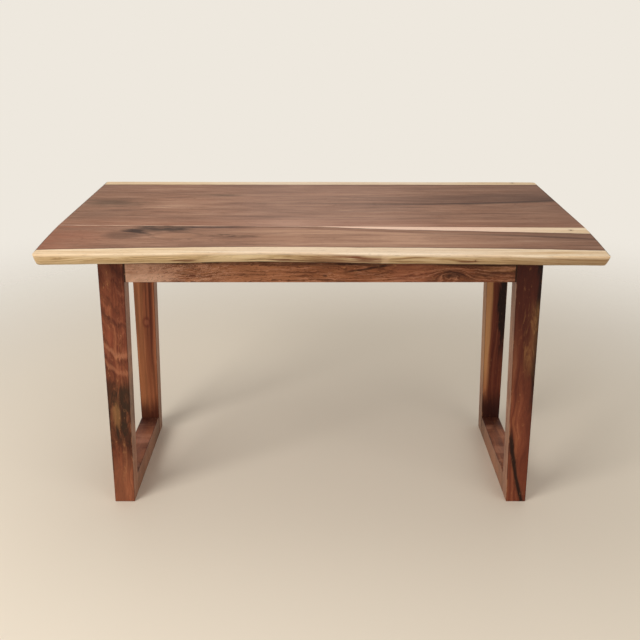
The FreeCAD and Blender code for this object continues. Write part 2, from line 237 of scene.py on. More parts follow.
class Finish:
    """A material that is being made out of nodes."""

    def __init__(self, name, roughness=0.5, gloss=0.5):
        self.material = bpy.data.materials.new(name)
        self.material.use_nodes = True
        self.nodes = self.material.node_tree.nodes
        self.links = self.material.node_tree.links
        self.shader = self.nodes["Principled BSDF"]
        self.shader.inputs["Roughness"].default_value = roughness
        self.shader.inputs["Specular IOR Level"].default_value = gloss
        self.coordinates = self.nodes.new("ShaderNodeTexCoord")

    def feed(self, socket, value):
        """Links a value that varies, or writes one that doesn't."""
        if isinstance(value, Field):
            value = value.socket
        if isinstance(value, bpy.types.NodeSocket):
            self.links.new(value, socket)
        else:
            socket.default_value = value

    def math(self, operation, *values):
        node = self.nodes.new("ShaderNodeMath")
        node.operation = operation
        for socket, value in zip(node.inputs, values):
            self.feed(socket, value)
        return Field(self, node.outputs[0])

    def axes(self, source="Object"):
        """The three coordinates of a point of the piece."""
        node = self.nodes.new("ShaderNodeSeparateXYZ")
        self.feed(node.inputs[0], self.coordinates.outputs[source])
        return [Field(self, output) for output in node.outputs]

    def facing(self, axis):
        """How squarely the surface faces along an axis, one way or the other, from 0 to 1."""
        return abs(self.axes("Normal")[axis])

    def attribute(self, name):
        node = self.nodes.new("ShaderNodeAttribute")
        node.attribute_name = name
        return Field(self, node.outputs["Fac"])

    def noise(self, along, across, through, detail=4.0, rough=0.5, twist=0.0):
        """Soft noise from 0 to 1, read at a point that is given by three scaled coordinates."""
        point = self.nodes.new("ShaderNodeCombineXYZ")
        for socket, value in zip(point.inputs, (along, across, through)):
            self.feed(socket, value)
        node = self.nodes.new("ShaderNodeTexNoise")
        node.inputs["Scale"].default_value = 1.0
        node.inputs["Detail"].default_value = detail
        node.inputs["Roughness"].default_value = rough
        node.inputs["Distortion"].default_value = twist
        self.links.new(point.outputs[0], node.inputs["Vector"])
        return Field(self, node.outputs["Fac"])

    def ramp(self, value, stops):
        """A colour that changes with a value, through stops of (value, screen colour)."""
        node = self.nodes.new("ShaderNodeValToRGB")
        elements = node.color_ramp.elements
        while len(elements) < len(stops):
            elements.new(1.0)
        for element, (position, colour) in zip(elements, stops):
            element.position = position
            element.color = screen(*colour)
        self.feed(node.inputs["Fac"], value)
        return node.outputs["Color"]

    def blend(self, share, first, second):
        """The first colour, with a share of the second laid over it."""
        node = self.nodes.new("ShaderNodeMix")
        node.data_type = "RGBA"
        node.clamp_factor = True
        for name, value in (("Factor_Float", share), ("A_Color", first), ("B_Color", second)):
            socket = next(s for s in node.inputs if s.identifier == name)
            self.feed(socket, screen(*value) if isinstance(value, tuple) else value)
        return next(s for s in node.outputs if s.identifier == "Result_Color")

    def layers(self, colour, *layers):
        """A colour with others laid over it one after the other, each as (share, colour)."""
        for share, layer in layers:
            colour = self.blend(share, colour, layer)
        return colour

    def relief(self, height, depth):
        """Bumps the surface by a height from 0 to 1, of a depth in metres."""
        node = self.nodes.new("ShaderNodeBump")
        node.inputs["Strength"].default_value = 1.0
        node.inputs["Distance"].default_value = depth
        self.feed(node.inputs["Height"], height)
        self.links.new(node.outputs["Normal"], self.shader.inputs["Normal"])

    def paint(self, colour):
        self.feed(self.shader.inputs["Base Color"], colour)

    def sheen_of(self, roughness):
        self.feed(self.shader.inputs["Roughness"], roughness)


def knot(x, y, centre, size):
    """How strongly a knot is felt at a point: 1 at its heart and falling away round it."""
    return (1 + ((x - centre[0]) / size[0]) ** 2 + ((y - centre[1]) / size[1]) ** 2) ** -1.6


def glue_line(x):
    """Where the two boards meet, at one place along them."""
    return GLUE_LINE_MIDDLE + x * GLUE_LINE_SLOPE


# Wood of the top. Each function for features lays one piece's own marks over its plain wood,
# and all those of one kind take the same values, whether they use them or not.


def heartwood(finish, x, y, z, seed, ring, streak, vein, grain, cloud):
    """Warm brown wood, clouded from place to place, with dark growth lines."""
    flake = finish.noise(x * 6.5 + seed, y * 44, z * 44, detail=6.0, rough=0.6, twist=0.5)
    accent = finish.noise(x * 2.4, ring * 34, seed + 20, detail=6.0, rough=0.5)
    mixed = flake * 0.24 + cloud * 0.16 + streak * 0.24 + vein * 0.16 + grain * 0.20
    return finish.layers(
        finish.ramp(mixed, HEART_TONES),
        (cloud.rise(0.5, 0.7) * 0.35, (148, 100, 76)),
        (cloud.fall(0.3, 0.5) * 0.3, (128, 99, 83)),
        (accent.rise(0.56, 0.66) * 0.35, (88, 58, 46)),
        (abs(accent - 0.5).fall(0.0, 0.010) * flake.rise(0.35, 0.55) * 0.35, (84, 54, 42)),
        (abs(streak - 0.5).fall(0.0, 0.014) * 0.25, (92, 60, 46)),
        ((x + (flake - 0.5) * 0.3).fall(-0.82, -0.50) * 0.28, (104, 74, 56)),
    )


def sapwood(finish, x, y, z, seed, ring, edge_features):
    """Cream wood on the top, stained browner down the live edge, and browner towards the right, partly as
    painted shade.
    """
    streak = finish.noise(x * 2.0, ring * 90, seed + 8, detail=6.0, rough=0.6)
    wedge = y.rise(-0.32, -0.28) * y.fall(-0.15, -0.10) * x.fall(0.45, 0.8)
    cream = finish.layers(
        finish.ramp(streak, SAP_TONES),
        (x.rise(-0.5, -0.1) * x.fall(0.3, 0.7) * 0.4, (240, 220, 200)),
        (wedge * 0.6, (240, 198, 180)),
    )
    stain = finish.noise(x * 5.0, ring * 110, seed + 31, detail=7.0, rough=0.68, twist=0.7)
    # Browner towards the right: partly the wood's stain, partly painted shade where the light falls off.
    browner = x.rise(-0.35, 0.15) * 0.22 + x.rise(0.4, 0.65) * 0.32
    edge = finish.blend(browner, finish.ramp(stain, EDGE_TONES), (140, 104, 72))
    if edge_features:
        edge = edge_features(finish, x, z, edge, stain)
    return finish.blend((TABLE_TOP - z).rise(0.0022, 0.0115), cream, edge)


def board_finish(name, seed, pith, knots, pins, sap_reach, features, edge_features):
    """Figured heartwood between bands of pale sapwood, with pin knots, under satin lacquer."""
    finish = Finish(name, gloss=0.12)
    x, y, z = finish.axes()
    wander = finish.noise(x * 1.3 + seed, seed, 0.0, detail=2.0) - 0.5
    lift = finish.noise(x * 1.1 + seed, seed + 5, 0.0, detail=1.0) - 0.5
    across = y - pith[0] - wander * 0.08
    depth = z - pith[1] - lift * 0.05
    ring = (across**2 + depth**2) ** 0.5
    for centre, size, push in knots:
        ring = ring + knot(x, y, centre, size) * push
    streak = finish.noise(x * 2.6, ring * 62, seed, detail=8.0, rough=0.62)
    vein = finish.noise(x * 5.0 + 9, ring * 170, seed + 3, detail=6.0, rough=0.6)
    grain = finish.noise(x * 4.0 + seed, y * 230, z * 230, detail=5.0, rough=0.6)
    pore = finish.noise(x * 38, y * 900, z * 900, detail=2.0)
    cloud = finish.noise(x * 2.2, y * 9, z * 9 + seed, detail=3.0)

    colour = heartwood(finish, x, y, z, seed, ring, streak, vein, grain, cloud)
    colour = features(finish, x, y, z, colour, streak, cloud)
    wobble = (finish.noise(x * 14, y * 30, z * 30 + seed, detail=3.0) - 0.5) * 0.008
    reach = sap_reach(x, y, z) + wobble
    colour = finish.layers(
        colour,
        (reach.rise(-0.034, -0.006) * x.rise(-0.15, 0.1) * 0.4, (100, 66, 50)),
        (reach.rise(-0.010, -0.001) * 0.62, (86, 56, 42)),
        (reach.rise(-0.0012, 0.0012), sapwood(finish, x, y, z, seed, ring, edge_features)),
    )
    for centre, radius in pins:
        away = ((x - centre[0]) ** 2 + (y - centre[1]) ** 2 + (z - centre[2]) ** 2) ** 0.5
        colour = finish.layers(
            colour,
            (away.fall(radius, radius * 3) * 0.35, (150, 104, 66)),
            (away.fall(radius * 0.5, radius * 1.1) * 0.9, (58, 36, 26)),
        )

    # Painted shadow: the foot of the live edge is darkened to stand in for the shadow the boards throw on
    # the apron below.
    foot = (z - UNDERSIDE).fall(0.0005, 0.0035) * finish.facing(Z_AXIS).fall(0.75, 0.95)
    ends = finish.facing(X_AXIS).rise(0.75, 0.95)
    colour = finish.layers(
        colour,
        (foot * (0.5 + x.rise(-0.6, 0.1) * 0.4), (44, 27, 18)),
        (ends * 0.45, (104, 76, 58)),
        (pore.fall(0.30, 0.38) * 0.38, (66, 44, 34)),
    )
    finish.paint(colour)
    finish.sheen_of(0.50 + vein * 0.12 + pore.fall(0.28, 0.4) * 0.15 + ends * 0.12)
    finish.relief(streak * 0.3 + vein * 0.2 + grain * 0.2 - pore.fall(0.3, 0.42) * 0.5, 0.0004)
    return finish.material


def rear_sap(x, y, z):
    """How far a point is past the edge of the rear board's heartwood."""
    slant = (z - TABLE_TOP) * 0.9
    return y - 0.426 + x * 0.004 + slant


def front_sap(x, y, z):
    """How far a point is past the front board's heartwood, at the live edge or at the glue line."""
    under = TABLE_TOP - z
    edge = -0.383 - (x / 0.8) ** 2 * 0.031 - x.rise(-0.3, 0.2) * 0.008 - y - under * 0.6
    width = (x * 0.0593 + 0.017).least((x + 0.03) * 0.12).most(0.0022)
    wedge = y - glue_line(x) + width - under * 0.4
    return edge.most(wedge)


def rear_features(finish, x, y, z, colour, streak, cloud):
    """A dark line towards the right with smoky wood behind it, redder wood by the glue line, and painted
    shade darkening the right end.
    """
    smoke = finish.noise(x * 6, y * 40, 2.0, detail=6.0, rough=0.6)
    behind_glue = y - glue_line(x)
    red = behind_glue.fall(0.01, 0.13) * smoke.rise(0.3, 0.5)
    pink = behind_glue.fall(0.03, 0.14) * x.rise(-0.35, -0.1) * x.fall(0.15, 0.45)
    past = y - 0.118 - (x - 0.28).most(-0.3) ** 2 * 0.19 + (smoke - 0.5) * 0.014
    behind = past.rise(-0.004, 0.004) * past.fall(0.06, 0.19) * x.rise(0.05, 0.45)
    line = abs(past).fall(0.004, 0.018) * (x.rise(-0.4, -0.1) * 0.25 + x.rise(0.1, 0.4) * 0.55)
    second_line = abs(past - 0.02).fall(0.01, 0.05) * x.rise(0.60, 0.80)
    dusk = knot(x, y, (-0.71, 0.14), (0.15, 0.06)) + knot(x, y, (-0.36, 0.25), (0.09, 0.02))
    dusk = (dusk * (0.3 + smoke.rise(0.30, 0.6) * 0.7)).rise(0.1, 0.8)
    # Painted shade: the right end is darker where the light falls off.
    shaded_right_end = x.rise(0.15, 0.8) * 0.36 - y.fall(0.02, 0.12) * x.rise(0.15, 0.5) * 0.12
    return finish.layers(
        colour,
        (red * 0.4, (152, 102, 78)),
        (pink * streak.rise(0.38, 0.58) * 0.5, (186, 144, 122)),
        (behind * (0.40 + smoke.rise(0.35, 0.6) * 0.25), (86, 56, 46)),
        (line, (52, 32, 25)),
        (second_line * 0.45, (58, 38, 30)),
        (dusk * 0.7, (84, 62, 46)),
        (shaded_right_end, (84, 56, 42)),
        (x.rise(-0.5, -0.1) * x.fall(0.1, 0.5) * 0.14, (190, 164, 152)),
        (y.rise(0.25, 0.43) * 0.25, (132, 98, 84)),
    )


def front_features(finish, x, y, z, colour, streak, cloud):
    """Red wood at the left end, the smoky figure round a knot, dark lines beside the pale wedge, and painted
    shade darkening the right end.
    """
    smoke = finish.noise(x * 12, y * 44, 5.0, detail=7.0, rough=0.62, twist=0.8)
    drift = (smoke - 0.5) * 0.05
    grit = smoke.rise(0.38, 0.56)
    below = y - glue_line(x)
    middle = x.rise(-0.40, -0.05) * x.fall(0.25, 0.6)
    swelling = ((x + 0.585) / 0.065) ** 2 + ((y + 0.262) / 0.045) ** 2 + drift * 8
    lens = ((x + 0.43) / 0.07) ** 2 + ((y + 0.268) / 0.034) ** 2 + drift * 6
    first = (below + drift * 0.5).rise(-0.092, -0.045) * x.rise(-0.585, -0.53) * x.fall(-0.43, -0.37)
    second = below.rise(-0.036, -0.018) * x.rise(-0.42, -0.39) * x.fall(-0.29, -0.18)
    seam = below.rise(-0.034, -0.016) * x.rise(-0.32, -0.2) * x.fall(-0.06, 0.04)
    brow = abs(y + 0.222 + (x + 0.55) * 0.55 + ((x + 0.55) * 9) ** 2 * 0.08 + drift * 1.2)
    ragged = brow - knot(x, y, (-0.555, -0.225), (0.045, 0.08)) * 0.026 + (streak - 0.5) * 0.05
    shade = x.rise(-0.62, -0.585) * x.fall(-0.54, -0.485)
    mote = knot(x, y, (-0.26, -0.278), (0.075, 0.013)) + knot(x, y, (-0.30, -0.262), (0.03, 0.008))
    near_wedge = abs(y + 0.1955 + x * 0.122 + drift * 0.16).fall(0.003, 0.014)
    along = abs(y + 0.2585 + (x - 0.5) * 0.105 + (x - 0.5) ** 2 * 0.208 + drift * 0.16)
    strength = x.rise(0.24, 0.34) * 0.35 + x.rise(0.40, 0.65) * 0.35
    return finish.layers(
        colour,
        (x.fall(-0.78, -0.52) * cloud.rise(0.3, 0.6) * 0.5, (150, 86, 60)),
        (middle * (0.3 + streak.rise(0.40, 0.58) * 0.5), (186, 146, 120)),
        (swelling.fall(0.2, 1.5) * (0.35 + grit * 0.35), (88, 60, 46)),
        (lens.fall(0.2, 1.2) * 0.3, (168, 126, 98)),
        (abs(lens - 1.15).fall(0.05, 0.5) * grit * 0.4, (96, 66, 50)),
        (first * (0.5 + grit * 0.4), (50, 32, 22)),
        (second * (0.6 + grit * 0.3), (48, 24, 24)),
        (seam * (0.35 + grit * 0.3), (84, 46, 38)),
        (ragged.fall(-0.006, 0.020) * shade * 0.75, (64, 42, 32)),
        (ragged.fall(-0.012, 0.004) * shade * 0.85, (42, 20, 10)),
        ((mote * grit).rise(0.1, 0.6) * 0.8, (74, 46, 32)),
        (near_wedge * x.rise(-0.06, 0.0) * x.fall(0.26, 0.36) * 0.5, (92, 54, 42)),
        (along.fall(0.003, 0.015) * strength, (66, 36, 24)),
        # Painted shade: darker towards the right end, where the light falls off.
        (x.rise(0.3, 0.8) * 0.3, (92, 60, 42)),
    )


def front_edge_features(finish, x, z, colour, stain):
    """Brown patches along the front live edge, and red-brown wood that ends at a pale upright mark."""
    for centre, size in FRONT_EDGE_PATCHES:
        brown = knot(x, z, centre, size) * (0.3 + stain.fall(0.42, 0.66) * 0.7)
        colour = finish.blend(brown.rise(0.15, 0.55) * 0.8, colour, (116, 72, 48))
    pale = x.rise(-0.36, -0.28) * x.fall(-0.18, -0.08) * stain.rise(0.36, 0.5)
    red = (x + (stain - 0.5) * 0.25).rise(-0.12, 0.06) * x.fall(0.166, 0.174)
    mark = abs(x - 0.182 + (stain - 0.5) * 0.03).fall(0.003, 0.013)
    return finish.layers(
        colour,
        (pale * 0.5, (238, 212, 168)),
        (red * (0.22 + stain.fall(0.42, 0.60) * 0.5), (122, 74, 54)),
        (mark * 0.5, (206, 172, 140)),
    )


# Wood of the leg frames and aprons


def frame_finish(node, grain, seed, wild, features):
    """Red-brown wood, plain or wildly figured, with dark streaks and its grain along one axis."""
    finish = Finish(node + "_wood", gloss=0.14)
    place = finish.axes()
    centre = (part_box(node)[0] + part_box(node)[1]) / 2
    along = place[grain]
    wide, deep = [place[axis] - centre[axis] for axis in range(3) if axis != grain]
    sway = finish.noise(along * 2.6 + seed, seed, 1.0, detail=2.0) - 0.5
    swirl = finish.noise(along * (4 + 9 * wild) + seed, wide * 16, deep * 16 + seed, detail=3.0) - 0.5
    side = wide + 0.06 * math.cos(seed) + sway * 0.05 + swirl * (0.1 * wild)
    depth = deep + 0.06 * math.sin(seed) + sway * 0.04
    ring = (side**2 + depth**2) ** 0.5
    stretch = along * (1.6 + 5 * wild) + seed
    streak = finish.noise(stretch, ring * 105, seed, detail=8.0, rough=0.62, twist=0.3)
    stretch = along * (5 + 14 * wild) + seed
    figure = finish.noise(stretch, wide * 38, deep * 38, detail=7.0, rough=0.64, twist=1.4)
    stretch = along * (1.5 + 3 * wild) + seed * 3
    mineral = finish.noise(stretch, ring * 34, 4.0, detail=6.0, rough=0.58, twist=0.6)
    fleck = finish.noise(along * 60 + seed, wide * 150, deep * 150, detail=4.0, rough=0.6)
    pore = finish.noise(along * 60, wide * 1100, deep * 1100, detail=2.0)
    colour = finish.layers(
        finish.ramp(streak * (1 - wild * 0.7) + figure * (wild * 0.7), FRAME_TONES),
        (mineral.rise(0.54, 0.64) * 0.6, (46, 20, 13)),
        (mineral.fall(0.34, 0.43) * 0.4, (156, 98, 60)),
    )
    if features:
        colour = features(finish, *place, colour, streak, figure)
    colour = finish.layers(
        colour,
        (fleck.rise(0.59, 0.68) * figure.rise(0.4, 0.6) * (wild * 0.9), (186, 132, 84)),
        (fleck.fall(0.31, 0.40) * (wild * 0.7), (44, 20, 13)),
    )
    # Painted light: on upright members the faces that face along X are paler, as if lit from the side, with
    # darker streaks on them.
    if grain == Z_AXIS:
        sides = finish.facing(X_AXIS).rise(0.8, 0.95)
        colour = finish.layers(
            colour,
            (sides * (0.38 + figure.rise(0.42, 0.58) * 0.30), (178, 136, 110)),
            (sides * streak.rise(0.54, 0.64) * 0.25, (104, 66, 48)),
        )
    # The rounded arrises are darkened and given pale patches, partly worn edges and partly painted
    # highlight.
    arris_wear_and_highlight = finish.attribute("arris_wear_and_highlight")
    colour = finish.layers(
        colour,
        (arris_wear_and_highlight * 0.4, (60, 30, 20)),
        (arris_wear_and_highlight * figure.rise(0.52, 0.62) * 0.6, (178, 126, 92)),
        (pore.fall(0.28, 0.38) * 0.25, (40, 20, 14)),
    )
    finish.paint(colour)
    finish.sheen_of(0.4 + streak * 0.16 + pore.fall(0.28, 0.4) * 0.15)
    finish.relief(streak * 0.4 + figure * 0.2 - pore.fall(0.3, 0.42) * 0.5, 0.0004)
    return finish.material


def front_left_leg_features(finish, x, y, z, colour, streak, figure):
    """Curved figure in the upper half, dark wood with a golden band below it, a browner foot, and a top
    darkened by painted shade under the boards.
    """
    over = x + 0.635
    curve = (z + over * 0.75 - over**2 * 12) * 30 + (figure - 0.5) * 3
    bow = finish.noise(curve, over * 14, 3.0, detail=6.0, rough=0.62)
    upper = z.rise(0.36, 0.48)
    red = knot(x, z, (-0.652, 0.575), (0.014, 0.05)).rise(0.3, 0.9)
    colour = finish.layers(
        colour,
        (upper * 0.45, (112, 60, 43)),
        (upper * bow.rise(0.50, 0.62) * 0.5, (64, 32, 22)),
        (upper * bow.fall(0.37, 0.47) * 0.4, (152, 92, 66)),
        (red * 0.4, (140, 72, 50)),
    )
    for level, tone in LEG_ARCS:
        arc = abs(z - level - (over - 0.035) ** 2 * 9 + (figure - 0.5) * 0.05)
        colour = finish.blend(arc.fall(0.002, 0.015) * 0.45, colour, tone)
    middle = z.rise(0.17, 0.25) * z.fall(0.39, 0.47)
    band = knot(x, z, (-0.648, 0.315), (0.016, 0.065)) + (figure - 0.5) * 0.9
    rim = (over + 0.039).fall(0.002, 0.007) * z.rise(0.06, 0.12) * z.fall(0.38, 0.48)
    return finish.layers(
        colour,
        # Painted shade under the boards: the top of the leg is darker.
        (z.rise(0.74, 0.80) * 0.28, (62, 24, 22)),
        (middle * (0.55 + figure.fall(0.42, 0.58) * 0.4), (50, 34, 22)),
        (band.rise(0.35, 0.8) * middle * 0.6, (138, 98, 60)),
        (z.fall(0.10, 0.22) * 0.45, (158, 96, 66)),
        (rim * 0.75, (40, 24, 16)),
    )


def front_and_back(finish):
    """1 on the faces towards the front and the back, and 0.2 on the others."""
    return finish.facing(Y_AXIS).rise(0.5, 0.9) * 0.8 + 0.2


def front_right_leg_features(finish, x, y, z, colour, streak, figure):
    """Maroon top, darkened partly by painted shade under the boards, a dark outer edge with golden wood by
    it, and a dark streak that crosses low down.
    """
    outer = (x + (figure - 0.5) * 0.03).rise(0.655, 0.668) * z.rise(0.22, 0.45)
    gold = (x + (figure - 0.5) * 0.08).rise(0.628, 0.655) * z.rise(0.42, 0.56) * z.fall(0.64, 0.72)
    line = abs(x - 0.660 + z * 0.27 - z**2 * 0.28 - (figure - 0.5) * 0.014)
    return finish.layers(
        colour,
        (0.45, (112, 56, 39)),
        # Darker towards the top: partly maroon wood, partly painted shade under the boards.
        (z.rise(0.40, 0.74) * 0.85, (58, 19, 12)),
        (z.rise(0.28, 0.44) * z.fall(0.60, 0.76) * 0.42, (62, 24, 14)),
        (outer * front_and_back(finish) * 0.9, (24, 11, 8)),
        (gold * (0.2 + figure.rise(0.42, 0.58) * 0.55), (136, 94, 56)),
        (z.fall(0.05, 0.3) * 0.3, (112, 54, 34)),
        (line.fall(0.004, 0.014) * z.fall(0.20, 0.30) * 0.45, (60, 32, 20)),
        ((line - z * 0.010).fall(0.002, 0.0070) * z.fall(0.22, 0.29) * 0.92, (28, 14, 8)),
    )


def rear_left_leg_features(finish, x, y, z, colour, streak, figure):
    """A straight dark stripe, a small knot and a foot darkened by painted shade."""
    stripe = abs(x + 0.617 + (streak - 0.5) * 0.008).fall(0.002, 0.007) * z.rise(0.1, 0.5)
    eye = knot(x, z, (-0.634, 0.452), (0.014, 0.020)) + (streak - 0.5) * 0.5
    return finish.layers(
        colour,
        (0.35, (124, 70, 46)),
        (stripe * 0.6, (66, 30, 20)),
        ((x + 0.635).fall(-0.020, 0.004) * 0.35, (158, 106, 68)),
        (z.fall(0.14, 0.4) * 0.3, (156, 96, 60)),
        (abs(eye - 0.45).fall(0.05, 0.28) * 0.5, (84, 34, 26)),
        (eye.rise(0.6, 0.9) * 0.4, (140, 76, 58)),
        # Painted shade: the foot is darkened where shade falls near the floor.
        ((z + (figure - 0.5) * 0.10).fall(0.085, 0.17) * 0.82, (54, 18, 12)),
    )


def rear_right_leg_features(finish, x, y, z, colour, streak, figure):
    """A band of golden sapwood up the inner side, dark wood on the outer side, and a foot darkened by
    painted shade.
    """
    place = x + (streak - 0.5) * 0.03
    band = place.fall(0.616, 0.628) * z.rise(0.12, 0.3)
    outer = (x - abs(z - 0.52) * 0.07 + (figure - 0.5) * 0.06).rise(0.640, 0.650) * z.rise(0.26, 0.42)
    return finish.layers(
        colour,
        (place.rise(0.616, 0.632) * 0.8, (80, 33, 22)),
        (outer * front_and_back(finish) * 0.95, (22, 8, 5)),
        (band * 0.82, (184, 134, 88)),
        # Painted shade: the foot is darkened where shade falls near the floor.
        ((z + (figure - 0.5) * 0.10).fall(0.10, 0.20) * 0.9, (38, 13, 9)),
    )


def front_apron_features(finish, x, y, z, colour, streak, figure):
    """Pale and pinkish at the left end with curly figure beside it, browner towards the right.

    Dark swirls lie in its right half. Dark wandering veins along its top under the boards are painted shade
    from the overhanging boards.
    """
    pale = (x + (figure - 0.5) * 0.30).fall(-0.53, -0.38)
    palest = pale * (z + (figure - 0.5) * 0.03).fall(0.780, 0.792)
    by_curl = x.rise(-0.42, -0.32) * x.fall(-0.16, -0.02)
    corner = x.rise(0.47, 0.53) * (z + (figure - 0.5) * 0.02).rise(0.788, 0.796)
    flow = z + knot(x, z, (-0.36, 0.80), (0.06, 0.02)) * 0.03
    flow = flow - knot(x, z, (0.40, 0.785), (0.06, 0.022)) * 0.04
    flow = flow + knot(x, z, (0.14, 0.79), (0.10, 0.016)) * 0.022 + (figure - 0.5) * 0.03
    lines = finish.noise(x * 6, flow * 190, 6.0, detail=6.0, rough=0.58, twist=0.4)
    lively = x.rise(-0.50, -0.42)
    bent = x * 27 + (figure - 0.5) * 6
    curl = finish.noise(bent, z * 72 - x * 16, 9.0, detail=4.0, rough=0.55, twist=1.8)
    curly = knot(x, z, (-0.40, 0.795), (0.14, 0.06)).rise(0.15, 0.7)
    dark = knot(x, z, (0.405, 0.785), (0.045, 0.020)) + knot(x, z, (0.015, 0.783), (0.014, 0.010))
    swirls = (dark + (lines - 0.5) * 1.6).rise(0.35, 0.95) * dark.rise(0.08, 0.4)
    split = abs(z - 0.803 - (x - 0.13) * 0.16 + (figure - 0.5) * 0.008).fall(0.001, 0.006)
    colour = finish.layers(
        colour,
        (0.28 + x.fall(-0.3, 0.4) * 0.3, (182, 122, 82)),
        (pale * (0.35 + figure.rise(0.40, 0.52) * 0.5), (218, 172, 144)),
        (palest * 0.45, (232, 190, 162)),
        (x.rise(0.2, 0.6) * 0.32, (100, 56, 35)),
        (by_curl * 0.35, (196, 134, 96)),
        (corner * 0.4, (136, 98, 56)),
        (lines.fall(0.38, 0.48) * lively * 0.50, (208, 148, 114)),
        (lines.rise(0.52, 0.60) * lively * 0.65, (68, 32, 22)),
        (curl.rise(0.52, 0.60) * curly * 0.55, (96, 48, 34)),
        (abs(curl - 0.49).fall(0.006, 0.030) * curly * 0.75, (228, 178, 148)),
        (swirls * 0.75, (50, 25, 18)),
        (split * x.rise(0.05, 0.10) * x.fall(0.19, 0.215) * 0.8, (40, 20, 14)),
    )
    # Painted shade: dark veins along the apron's top stand in for the shadow of the overhanging boards.
    wander = (finish.noise(x * 4.5, 1.0, 3.0, detail=3.0) - 0.5) * 0.014 + (figure - 0.5) * 0.012
    for level, thickness, strength in APRON_SHADE_VEINS:
        wilder = 1 + (level - LOWEST_SHADE_VEIN) * 40
        vein = abs(z - level + x.rise(-0.35, 0.45) * 0.006 + wander * wilder)
        share = vein.fall(0.002, thickness) * (0.5 + streak.rise(0.42, 0.58) * 0.5) * strength
        colour = finish.blend(share, colour, (34, 10, 5))
    return finish.layers(
        colour,
        (x.rise(0.19, 0.25) * x.fall(0.30, 0.38) * 0.35, (176, 108, 80)),
        # Painted shade at the joints with the legs: a dark line at each end of the apron.
        (abs(x).rise(0.5895, 0.5930) * 0.92, (30, 12, 8)),
    )


def floor_rail_features(finish, x, y, z, colour, streak, figure):
    """Bands of dark and pale wood across the rail, painted shade darkest by the back leg, and painted light
    on its sides.
    """
    bands = finish.noise(y * 22, x * 7, z * 7, detail=4.0, twist=0.5)
    left = x.fall(-0.1, 0.1)
    spot = knot(x, y, (-0.64, 0.02), (0.06, 0.03)).rise(0.3, 0.9)
    return finish.layers(
        colour,
        (0.4, (142, 94, 72)),
        (bands.rise(0.52, 0.60) * (left * 0.3 + 0.25), (66, 30, 24)),
        (bands.fall(0.38, 0.46) * 0.35, (178, 126, 100)),
        (spot * 0.4, (182, 126, 102)),
        # Painted shade: the rail darkens towards the back leg.
        ((y + (bands - 0.5) * 0.1).rise(0.07, 0.16) * 0.85, (46, 14, 10)),
        # Painted light: the faces along X are paler, as if lit from the side.
        (finish.facing(X_AXIS).rise(0.8, 0.95) * 0.45, (160, 122, 96)),
    )


# Tools for shaping pieces


def held(value, low, high):
    """A value, held between two limits."""
    return min(max(value, low), high)


def round_edges(bm, edges, radius):
    """Rounds edges over, and returns the faces of the rounding."""
    rounded = bmesh.ops.bevel(
        bm,
        geom=edges,
        offset=radius,
        offset_type="OFFSET",
        segments=3,
        profile=0.5,
        affect="EDGES",
        clamp_overlap=False,
        material=-1,
    )
    return rounded["faces"]


def finished_piece(name, bm):
    """Turns a bmesh into an object of the scene, smooth except at its corners."""
    mesh = bpy.data.meshes.new(name)
    for face in bm.faces:
        face.smooth = True
    for edge in bm.edges:
        edge.smooth = edge.calc_face_angle(0.0) < CORNER_ANGLE
    bm.to_mesh(mesh)
    bm.free()
    piece = bpy.data.objects.new(name, mesh)
    bpy.context.scene.collection.objects.link(piece)
    shading = piece.modifiers.new("even_shading", "WEIGHTED_NORMAL")
    shading.keep_sharp = True
    return piece


def place_piece(piece, material, slot, *nodes):
    """Gives a piece its finish and puts it in the place of the CAD nodes that it stands for."""
    piece.data.materials.clear()
    piece.data.materials.append(material)
    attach(piece, "root")
    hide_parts(*nodes)


# Boards of the top


def live_line(node, level, side, reach):
    """The line of a board's live edge at one level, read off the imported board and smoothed."""
    points = sorted(
        (v.co.x, v.co.y)
        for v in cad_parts[node].data.vertices
        if abs(v.co.z - level) < TOUCH and v.co.y * side > EDGE_ZONE and abs(v.co.x) < reach + TOUCH
    )
    places = np.linspace(-HALF_LENGTH, HALF_LENGTH, LINE_POINTS)
    depths = np.interp(places, [x for x, y in points], [y for x, y in points])
    for _ in range(LINE_SMOOTHINGS):
        depths[1:-1] = (depths[:-2] + 2 * depths[1:-1] + depths[2:]) / 4
    return lambda x: float(np.interp(x, places, depths))


def bend(start, corner, end, count):
    """Points round a corner, from start to end, drawn towards the corner."""
    points = []
    for share in np.linspace(0, 1, count):
        points.append(start * (1 - share) ** 2 + corner * 2 * share * (1 - share) + end * share**2)
    return points


def corner_recess(x, radius):
    """How far a live edge has drawn back where its corner is rounded with one radius."""
    turn = held((abs(x) - (HALF_LENGTH - radius)) / radius, 0, 1)
    return radius * (1 - math.sqrt(1 - turn**2))


